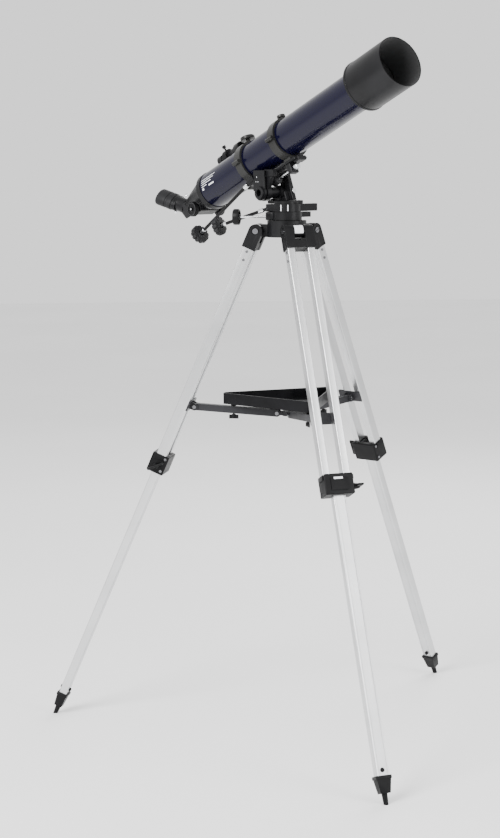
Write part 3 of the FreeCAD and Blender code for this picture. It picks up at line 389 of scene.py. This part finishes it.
def block(name, matrix, size, body, finish, bevel=0.6):
    """A block centred in a frame, with softened edges."""
    made = bmesh.new()
    bmesh.ops.create_cube(made, size=1.0)
    bmesh.ops.scale(made, vec=tuple(side * MM for side in size), verts=made.verts)
    bmesh.ops.transform(made, matrix=matrix, verts=made.verts)
    mesh = bpy.data.meshes.new(name)
    made.to_mesh(mesh)
    made.free()
    return finish_piece(mesh, name, body, [finish], 35, bevel, ())


def scalloped(name, matrix, start, thick, radius, lobes, depth, body, replaced=()):
    """A knob with finger scallops, domed on both faces, x along its axis."""
    end = start + thick
    layers = [(start, radius * 0.30), (start, radius * 0.80), (start + 1.2, radius * 0.95),
              (start + 3.5, radius), (end - 3.5, radius), (end - 1.2, radius * 0.95),
              (end, radius * 0.80), (end - 1.5, radius * 0.62), (end - 1.5, 0.0), (start, 0.0)]
    made = spun(layers, lobes * 12, False)
    for vert in made.verts:
        r = math.hypot(vert.co.y, vert.co.z)
        if r > radius * 0.7 * MM:
            angle = math.atan2(vert.co.z, vert.co.y)
            dip = max(0.0, math.cos(angle * lobes)) ** 1.5
            weight = (r / MM - radius * 0.7) / (radius * 0.3)
            scale = 1 - depth * MM * dip * weight / r
            vert.co.y *= scale
            vert.co.z *= scale
    bmesh.ops.recalc_face_normals(made, faces=made.faces)
    bmesh.ops.transform(made, matrix=matrix, verts=made.verts)
    mesh = bpy.data.meshes.new(name)
    made.to_mesh(mesh)
    made.free()
    return finish_piece(mesh, name, body, [GRIP], 50, 0, replaced)


def round_screw(name, matrix, radius, height, body, finish=None):
    """A small round-headed screw standing on a face whose outward direction is z."""
    made = bmesh.new()
    profile = [(0, 1.0), (0.45, 0.98), (0.8, 0.72), (1.0, 0.3), (1.0, 0.0)]
    ring = [made.verts.new((r * radius * MM, 0, z * height * MM)) for z, r in profile]
    edges = [made.edges.new((a, b)) for a, b in zip(ring, ring[1:])]
    bmesh.ops.spin(made, geom=ring + edges, cent=(0, 0, 0), axis=(0, 0, 1), angle=math.tau, steps=24,
                   use_merge=True)
    bmesh.ops.remove_doubles(made, verts=made.verts, dist=SPIN_SEAM)
    bmesh.ops.contextual_create(made, geom=[e for e in made.edges if e.is_boundary])
    bmesh.ops.recalc_face_normals(made, faces=made.faces)
    bmesh.ops.transform(made, matrix=matrix, verts=made.verts)
    mesh = bpy.data.meshes.new(name)
    made.to_mesh(mesh)
    made.free()
    return finish_piece(mesh, name, body, [finish or BRIGHT], 40)


def tube_place(station, y=0.0, z=0.0):
    return TUBE @ Matrix.Translation(along_tube(station, y, z))


# ---------------------------------------------------------------- optical tube
def make_optical_tube():
    turned("navy_tube", tube_place(0), [(-320, 45.5), (-320, 46.6), (-319.6, 47), (329.6, 47), (330, 46.6),
                                        (330, 45.5)], "telescope", [NAVY], 160, replaced=["main_tube"])
    outer, inner, band = 61.0, 59.6, 59.0
    hood = [(307, band), (307, 61.6), (307.5, 62), (312.5, 62), (313, 61.6), (313, outer), (436.6, outer),
            (438, outer - 0.2), (438.5, outer - 0.8), (438, inner + 0.1), (437, inner), (348, inner),
            (348, band)]
    turned("hood", tube_place(0), hood, "dew_shield", [BLACK], 160, replaced=["dew_shield"])
    lining = [(348.1, inner - 0.02), (436.8, inner - 0.02), (436.8, inner - 0.25), (348.1, inner - 0.25)]
    turned("hood_lining", tube_place(0), lining, "dew_shield", [LINING], 128)
    cell = [(309.5, 47.1), (309.5, 58.9), (346.4, 58.9), (347, 58.3), (347, 56), (345.5, 55), (345.5, 49),
            (347, 48), (347, 44), (346, 43.1), (331, 43.1), (331, 47.1)]
    turned("front_cell", tube_place(0), cell, "telescope", [LINING], 128, replaced=["lens_cell"])
    bulge = 3.0
    lens_radius, quarter = 45.5, 8
    turns = [step * math.pi / (2 * quarter) for step in range(quarter + 1)]
    rear = [(334 - bulge * math.cos(turn), lens_radius * math.sin(turn)) for turn in turns]
    front = [(343 + bulge * math.cos(turn), lens_radius * math.sin(turn)) for turn in reversed(turns)]
    turned("front_lens", tube_place(0), rear + front, "telescope", [GLASS], 96, replaced=["objective_lens"],
           smooth=60)
    for number, (first, last, angle, width) in enumerate(((-303, -244, 66, 1.5), (-303, -252, 73, 1.5),
                                                          (-303, -262, 80, 1.5), (-303, -282, 87, 1.5),
                                                          (-303, -296, 95, 5.0), (-274, -252, 93, 3.4))):
        turn = Matrix.Rotation(math.radians(angle), 4, "X")
        mark = tube_place((first + last) / 2) @ turn @ Matrix.Translation((0, 0, 47.06 * MM))
        block(f"plain_mark_{number}", mark, (last - first, width, 0.12), "telescope", INK, 0.0)


def make_focuser():
    dressed("focuser_body", CASTING, 0.8)
    dressed("drawtube", BLACK, 0.3)
    dressed("focus_shaft", BRIGHT, 0.3)
    drop, back = -31, -366
    for name, sign in (("near", -1), ("far", 1)):
        turn = Matrix.Rotation(math.radians(90 * sign), 4, "Z")
        knob = [(35.6, 3.1), (35.6, 14), (36.2, 17.6), (37.2, 19), (46.5, 19), (48, 18.4),
                (48.2, 16.8), (46.5, 16.2), (46.5, 5.0), (49, 4.4), (49.4, 0.0), (40, 0.0), (40, 3.1)]
        turned(f"focus_knob_{name}", tube_place(back, 0, drop) @ turn, knob, "focus_control", [PLASTIC], 144,
               replaced=["focus_knobs"], ribs=(37.2, 46.5, 48, 0.7))
        trim = [(46.6, 16.0), (47.6, 16.2), (47.6, 15.4), (46.6, 15.4)]
        turned(f"focus_knob_trim_{name}", tube_place(back, 0, drop) @ turn, trim, "focus_control", [BOLT], 96)
        screw = tube_place(back, 0, drop) @ turn @ Matrix.Translation((49.3 * MM, 0, 0)) @ Matrix.Rotation(
            math.radians(90), 4, "Y")
        round_screw(f"focus_knob_screw_{name}", screw, 2.6, 0.6, "focus_control")
    dressed("star_diagonal", BLACK, 0.8)
    out = axis_of("eyepiece_slide")
    eye = axes_matrix(point_of("diagonal_turn"), out, out.orthogonal())
    barrel = [(31.4, 14.7), (31.4, 16.4), (32, 17), (36, 17), (36.4, 16.6), (37.6, 16.6), (38, 17),
              (44.4, 17), (45, 16.4), (45, 14.7)]
    turned("barlow_body", eye, barrel, "diagonal", [BLACK], 96, replaced=["barlow_tube"])
    body = [(34, 0.0), (34, 14.4), (45.3, 14.4), (45.3, 17.2), (46, 18), (58.4, 18), (59, 17.0), (60, 16.6),
            (64, 16.6), (65, 17.0), (65.6, 18), (88, 18), (92, 17.6), (93.6, 16.6), (94, 15.6), (93.6, 13.5),
            (91, 12.4), (89, 11.6), (89, 0.0)]
    turned("eyepiece_body", eye, body, "eyepiece", [GRIP], 144, replaced=["eyepiece"],
           ribs=(65.7, 87.9, 60, 0.6))
    lens = [(88.5, 0.0), (88.5, 10.5), (89.2, 10.5), (90.2, 6.0), (90.6, 0.0)]
    turned("eye_lens", eye, lens, "eyepiece", [GLASS], 48, smooth=60)
    stalk_profile = [(0, 0.0), (0, 1.6), (4, 1.6), (4, 4), (4.5, 4.4), (8.6, 4.4), (9, 4), (9, 0.0)]
    for number, (station, angle) in enumerate(((24, 60), (38, 200))):
        turn = Matrix.Rotation(math.radians(angle), 4, "X")
        outwards = Matrix.Rotation(math.radians(-90), 4, "Y")
        stalk = eye @ turn @ Matrix.Translation((station * MM, 0, HOLDER_RADIUS * MM)) @ outwards
        turned(f"thumbscrew_{number}", stalk, stalk_profile, "diagonal", [BRIGHT], 48,
               ribs=(4.4, 8.7, 20, 0.4))


def make_rings():
    for ring in ("front", "back"):
        dressed(f"{ring}_ring_base", RING_CASTING, 0.7)
        dressed(f"{ring}_ring_top", RING_CASTING, 0.7)
        dressed(f"{ring}_ring_knob", PLASTIC, 0.4)


def make_finder():
    dressed("finder", BLACK, 0.4)
    dressed("finder_bracket", PLASTIC, 0.5)


# ---------------------------------------------------------------- controls
def make_control(name, length):
    joint = f"{name}_control_turn"
    at = rod_matrix(joint) @ Matrix.Translation((-40 * MM, 0, 0))
    body = f"{name}_control"
    shaft = [(0.5, 0.0), (0.5, 4.1), (length - 1, 4.1), (length - 1, 0.0)]
    turned(f"{name}_shaft", at, shaft, body, [PLASTIC], 40, replaced=[body])
    for number, (start, end) in enumerate(((20, 34), (length - 16, length + 1.9))):
        ferrule = [(start, 4.15), (start, 5.0), (start + 0.6, 5.55), (end - 0.6, 5.55), (end, 5.0),
                   (end, 4.15)]
        turned(f"{name}_ferrule_{number}", at, ferrule, body, [BRIGHT], 48)
    scalloped(f"{name}_knob", at, length, 16, 24, 12, 3.4, body)


HANDLE_START, HANDLE_LENGTH = 38, 78


def make_handle():
    at = rod_matrix("azimuth_handle_turn") @ Matrix.Translation((-60 * MM, 0, 0))
    end = HANDLE_START + HANDLE_LENGTH
    turned("handle_rod", at, [(19.2, 0.0), (19.2, 2.65), (end + 9, 2.65), (end + 9, 0.0)], "azimuth_handle",
           [BRIGHT], 40, replaced=["azimuth_lock_handle"])
    grip = [(end + 0.3, 2.7), (end + 0.3, 6), (end + 0.8, 6.6), (end + 4, 6.7), (end + 4.2, 14.5),
            (end + 1, 15.4), (end + 0.3, 16.2), (end + 0.3, 17.6), (end + 1.6, 19.2), (end + 3.4, 19.5),
            (end + 13, 19.5), (end + 15.6, 18.6), (end + 16.9, 16.0), (end + 16.9, 0.0),
            (end + 9.2, 0.0), (end + 9.2, 2.7)]
    turned("handle_grip", at, grip, "azimuth_handle", [PLASTIC], 96)


# ---------------------------------------------------------------- head and tripod
def make_head():
    for node in ("azimuth_clamp", "azimuth_turntable", "altitude_yoke", "altitude_cradle", "altitude_arm",
                 "altitude_barrel", "mounting_bar", "tripod_hub"):
        dressed(node, CASTING, 0.7)
    dressed("yoke_bolt", BRIGHT, 0.4)
    for number, (along, height) in enumerate(((-62, 1377), (-65, 1366), (-57, 1366))):
        at = head_matrix() @ Matrix.Translation((along * MM, -43.3 * MM, height * MM))
        round_screw(f"cradle_screw_{number}", at @ Matrix.Rotation(math.radians(90), 4, "X"), 1.5, 0.6,
                    body_of("altitude_cradle"))
    make_drag_screw()
    make_index_marks()


def make_drag_screw():
    """The ribbed knob, the bright rod and the knurled barrel nut of the altitude drag."""
    at = TUBE @ Matrix.Translation((PRISM, -5 * MM, -76 * MM))
    knob = [(-80.8, 0.0), (-80.8, 9.5), (-79.6, 11.6), (-78, 12.4), (-60, 12.4), (-58.2, 11.4), (-57.4, 9.0),
            (-57.4, 4.6), (-66, 4.6), (-66, 0.0)]
    turned("drag_knob", at, knob, "drag_screw", [GRIP], 128, replaced=["altitude_drag_screw"],
           ribs=(-79.7, -59.9, 32, 1.3))
    turned("drag_rod", at, [(-65.9, 0.0), (-65.9, 4.45), (9.1, 4.45), (9.1, 0.0)], "drag_screw", [BRIGHT], 48)
    nut = [(9, 0.0), (9, 6.6), (9.8, 7.4), (22.8, 7.4), (23.9, 6.4), (23.9, 0.0)]
    turned("drag_nut", at, nut, "drag_screw", [BRIGHT], 96, ribs=(9.7, 22.9, 24, 0.5))


def head_matrix():
    """Origin on the tripod's axis at the floor, x the way the telescope points."""
    level = Vector((TUBE.col[0].x, TUBE.col[0].y, 0)).normalized()
    return axes_matrix(Vector((TRIPOD.x, TRIPOD.y, 0)), level, Vector((-level.y, level.x, 0)))


def make_index_marks():
    """Two pale index lines on the rim of the upper azimuth ring."""
    for number, angle in enumerate((-64, -35)):
        turn = Matrix.Rotation(math.radians(angle), 4, "Z")
        at = head_matrix() @ turn @ Matrix.Translation((34.05 * MM, 0, 1303 * MM))
        block(f"index_mark_{number}", at, (0.3, 2.4, 15), "turntable", INK, 0.0)


def make_tripod():
    for leg in LEGS:
        for node in ("leg_fitting", "leg_lock", "foot", "lock_screw"):
            dressed(f"{leg}_{node}", PLASTIC, 0.6)
        dressed(f"{leg}_upper_leg", LEG_METAL[leg], 0.25)
        dressed(f"{leg}_lower_leg", LEG_METAL[leg], 0.2)
        dressed(f"{leg}_spreader_arm", SPREADER, 0.4)
    dressed("spreader_brackets", SPREADER, 0.4)
    dressed("spreader_hub", SPREADER, 0.4)
    dressed("accessory_tray", TRAY_PLASTIC, 0.8)
    for node in ("leg_hinge_bolts", "leg_rivets", "spreader_pins"):
        dressed(node, BOLT, 0.3)
    dressed("tray_wing_screws", PLASTIC, 0.3)
    make_plain_labels()


def make_plain_labels():
    """Two blank pale labels: one curved round the front lug of the hub, one flat on the front lock block."""
    leg = leg_matrix("front")
    lug = Matrix.Translation((0, 0, 636 * MM)) @ Matrix.Rotation(math.radians(90), 4, "Z")
    made = bmesh.new()
    section = ((-11, 16.05), (11, 16.05), (11, 16.35), (-11, 16.35))
    corners = [made.verts.new((x * MM, 0, radius * MM)) for x, radius in section]
    edges = [made.edges.new((a, b)) for a, b in zip(corners, corners[1:] + corners[:1])]
    face = made.faces.new(corners)
    bmesh.ops.spin(made, geom=corners + edges + [face], cent=(0, 0, 0), axis=(1, 0, 0),
                   angle=math.radians(80), steps=16)
    bmesh.ops.recalc_face_normals(made, faces=made.faces)
    aim = Matrix.Rotation(math.radians(45), 4, "X")
    bmesh.ops.transform(made, matrix=leg @ lug @ aim, verts=made.verts)
    mesh = bpy.data.meshes.new("hub_label")
    made.to_mesh(mesh)
    made.free()
    finish_piece(mesh, "hub_label", "tripod", [INK], 35)
    bar = leg @ Matrix.Translation((24.1 * MM, -2 * MM, 17 * MM))
    block("lock_label", bar, (0.3, 22, 5), "tripod", INK, 0.0)


# ---------------------------------------------------------------- floor and light
def add_floor():
    made = bmesh.new()
    bmesh.ops.create_grid(made, x_segments=1, y_segments=1, size=14)
    mesh = bpy.data.meshes.new("floor")
    made.to_mesh(mesh)
    made.free()
    mesh.materials.append(studio_floor())
    floor = bpy.data.objects.new("floor", mesh)
    bpy.context.scene.collection.objects.link(floor)


def add_light(name, place, target, size, power, colour=(1, 1, 1)):
    data = bpy.data.lights.new(name, "AREA")
    data.shape = "RECTANGLE"
    data.size, data.size_y = size
    data.energy = power
    data.color = colour
    light = bpy.data.objects.new(name, data)
    light.location = place
    light.rotation_euler = (Vector(target) - Vector(place)).to_track_quat("-Z", "Y").to_euler()
    bpy.context.scene.collection.objects.link(light)


def add_studio():
    world = bpy.data.worlds.new("studio")
    world.use_nodes = True
    background = world.node_tree.nodes["Background"]
    background.inputs["Color"].default_value = (1, 1, 1, 1)
    background.inputs["Strength"].default_value = 1.3
    bpy.context.scene.world = world
    middle = (TRIPOD.x, TRIPOD.y, 1.0)
    add_light("key", (-2.6, -3.0, 3.4), middle, (2.2, 2.2), 330)
    add_light("fill", (3.4, -2.2, 2.2), middle, (1.8, 2.6), 90)
    add_light("rim", (1.5, 3.5, 3.0), middle, (2.5, 1.5), 90)


make_optical_tube()
make_focuser()
make_rings()
make_finder()
make_control("azimuth", 150)
make_control("altitude", 248)
make_handle()
make_head()
make_tripod()
add_floor()
add_studio()
